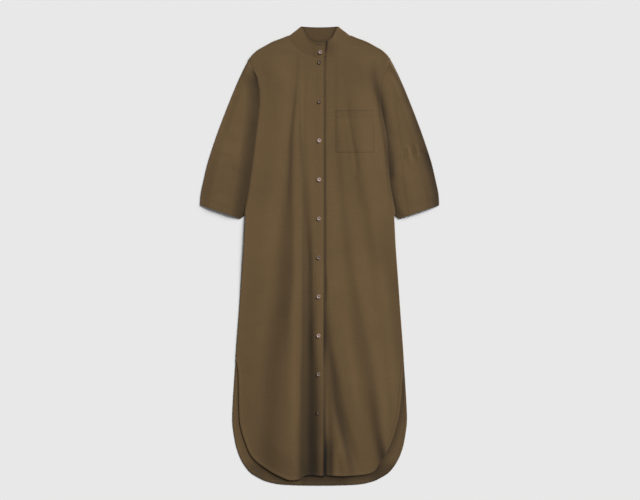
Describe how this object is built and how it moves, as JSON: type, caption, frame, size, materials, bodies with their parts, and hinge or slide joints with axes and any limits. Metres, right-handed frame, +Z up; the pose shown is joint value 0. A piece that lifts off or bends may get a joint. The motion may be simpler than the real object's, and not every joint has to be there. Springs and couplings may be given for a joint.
{
  "type": "shirt dress",
  "caption": "Long shirt dress laid flat, with a tall buttoned stand collar, button band, patch chest pocket, deep-cuffed sleeves and a curved, longer back hem.",
  "frame": {"origin": "on the surface that the dress lies on, under the middle of its outline", "axes": "+Y runs from the hem to the collar, +Z is up off the surface, and +X is towards the wearer's left sleeve"},
  "size_m": [0.717, 1.3784, 0.0127],
  "materials": {
    "cloth": "matt olive-brown cotton poplin",
    "button": "satin horn-effect buttons"
  },
  "bodies": {
    "root": {"back": "cloth", "front_left": "cloth", "front_right": "cloth", "button_band": "cloth", "chest_pocket": "cloth", "collar": "cloth", "sleeve_left": "cloth", "sleeve_right": "cloth", "cuff_left": "cloth", "cuff_right": "cloth", "button_01": "button", "button_02": "button", "button_03": "button", "button_04": "button", "button_05": "button", "button_06": "button", "button_07": "button", "button_08": "button", "button_09": "button", "button_10": "button", "button_11": "button"}
  },
  "joints": []
}
